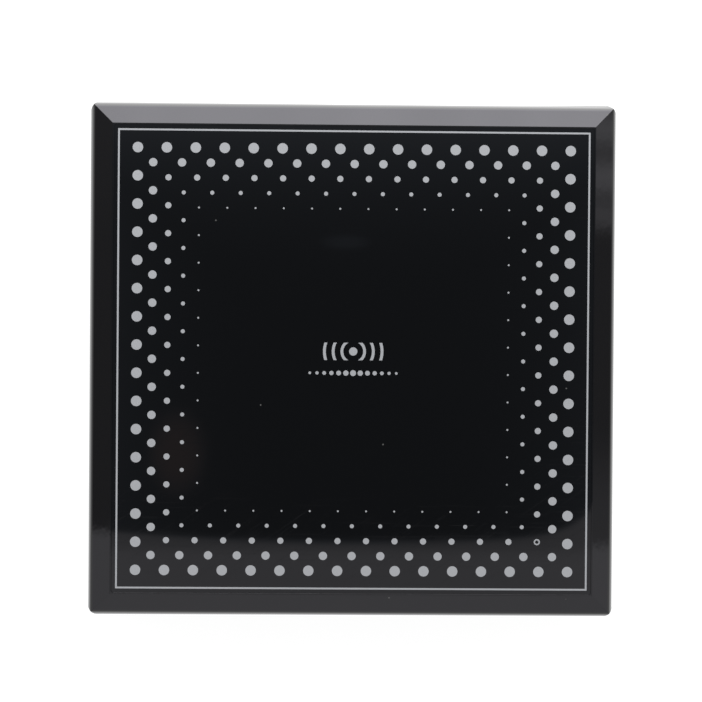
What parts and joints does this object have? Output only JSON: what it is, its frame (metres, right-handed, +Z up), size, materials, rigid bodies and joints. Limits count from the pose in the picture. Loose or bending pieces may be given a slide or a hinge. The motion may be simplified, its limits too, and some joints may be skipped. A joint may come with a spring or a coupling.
{
  "type": "label deactivator pad",
  "caption": "Square counter-top pad with a bevelled gloss cover, a flush dotted face panel, a vented tray and a recessed bay with a rocker switch, adjusters and a power socket.",
  "frame": {"origin": "middle of the footprint, on the surface that the feet stand on", "axes": "+Z up, +Y towards the rear with the socket bay, +X to the right as the operator sees it"},
  "size_m": [0.242, 0.236, 0.075],
  "materials": {
    "cover_gloss": "polished black moulding",
    "panel_acrylic": "polished black acrylic",
    "clear_film": "pale adhesive film",
    "print_ink": "silver-grey screen ink",
    "clear_acrylic": "clear, polished",
    "tray_plastic": "fine-grained black moulding",
    "foot_rubber": "matt black",
    "screw_steel": "zinc plated",
    "label_foil": "satin foil, blank",
    "plate_aluminium": "brushed",
    "switch_plastic": "satin black",
    "tinned_metal": "bright plated",
    "adjuster_blue": "blue moulding",
    "fibre_board": "tan laminate",
    "enamelled_copper": "enamelled copper wire",
    "board_laminate": "green solder mask",
    "capacitor_sleeve": "dark blue sleeve",
    "film_red": "dipped red resin",
    "black_aluminium": "black anodised",
    "component_black": "moulded epoxy",
    "ferrite": "powder-coated core",
    "fuse_glass": "clear",
    "connector_nylon": "natural nylon",
    "lead_red": "insulated wire",
    "lead_blue": "insulated wire",
    "lead_green": "insulated wire"
  },
  "bodies": {
    "case": {"top_cover": "cover_gloss", "face_panel": "panel_acrylic", "panel_adhesive": "clear_film", "printed_pattern": "print_ink", "light_pipe": "clear_acrylic", "base_tray": "tray_plastic", "rubber_feet": "foot_rubber", "case_screws": "screw_steel", "rating_label": "label_foil", "socket_plate": "plate_aluminium", "plate_screws": "screw_steel", "switch_housing": "switch_plastic", "switch_terminals": "tinned_metal", "power_jack": "switch_plastic", "jack_pin": "tinned_metal", "jack_nut": "screw_steel", "jack_tag": "tinned_metal", "range_adjuster": "adjuster_blue", "volume_adjuster": "adjuster_blue", "adjuster_nuts": "screw_steel", "coil_carrier": "fibre_board", "carrier_screws": "screw_steel", "transmit_loop": "enamelled_copper", "receive_loop": "enamelled_copper", "indicator_board": "board_laminate", "indicator_led": "clear_acrylic", "circuit_board": "board_laminate", "board_screws": "screw_steel", "bulk_capacitors": "capacitor_sleeve", "film_capacitors": "film_red", "heat_sink": "black_aluminium", "power_transistors": "component_black", "transistor_screws": "screw_steel", "choke_cores": "ferrite", "choke_windings": "enamelled_copper", "voltage_regulator": "component_black", "control_chips": "component_black", "crystal": "tinned_metal", "chip_resistors": "component_black", "sounder": "component_black", "fuse_tube": "fuse_glass", "fuse_caps": "tinned_metal", "fuse_clips": "screw_steel", "board_headers": "connector_nylon", "lead_plugs": "connector_nylon", "power_leads": "lead_red", "loop_leads": "lead_blue", "led_leads": "lead_green"},
    "rocker": {"switch_rocker": "switch_plastic"},
    "range_knob": {"range_shaft": "tinned_metal"},
    "volume_knob": {"volume_shaft": "tinned_metal"}
  },
  "joints": [
    {"name": "rocker_tilt", "type": "hinge", "parent": "case", "child": "rocker", "pos_m": [-0.03, 0.1075, 0.026], "axis": [0, 0, 1], "range_deg": [0, 20]},
    {"name": "range_turn", "type": "hinge", "parent": "case", "child": "range_knob", "pos_m": [-0.005, 0.107, 0.026], "axis": [0, 1, 0], "range_deg": [-140, 140]},
    {"name": "volume_turn", "type": "hinge", "parent": "case", "child": "volume_knob", "pos_m": [0.01, 0.107, 0.026], "axis": [0, 1, 0], "range_deg": [-140, 140]}
  ]
}
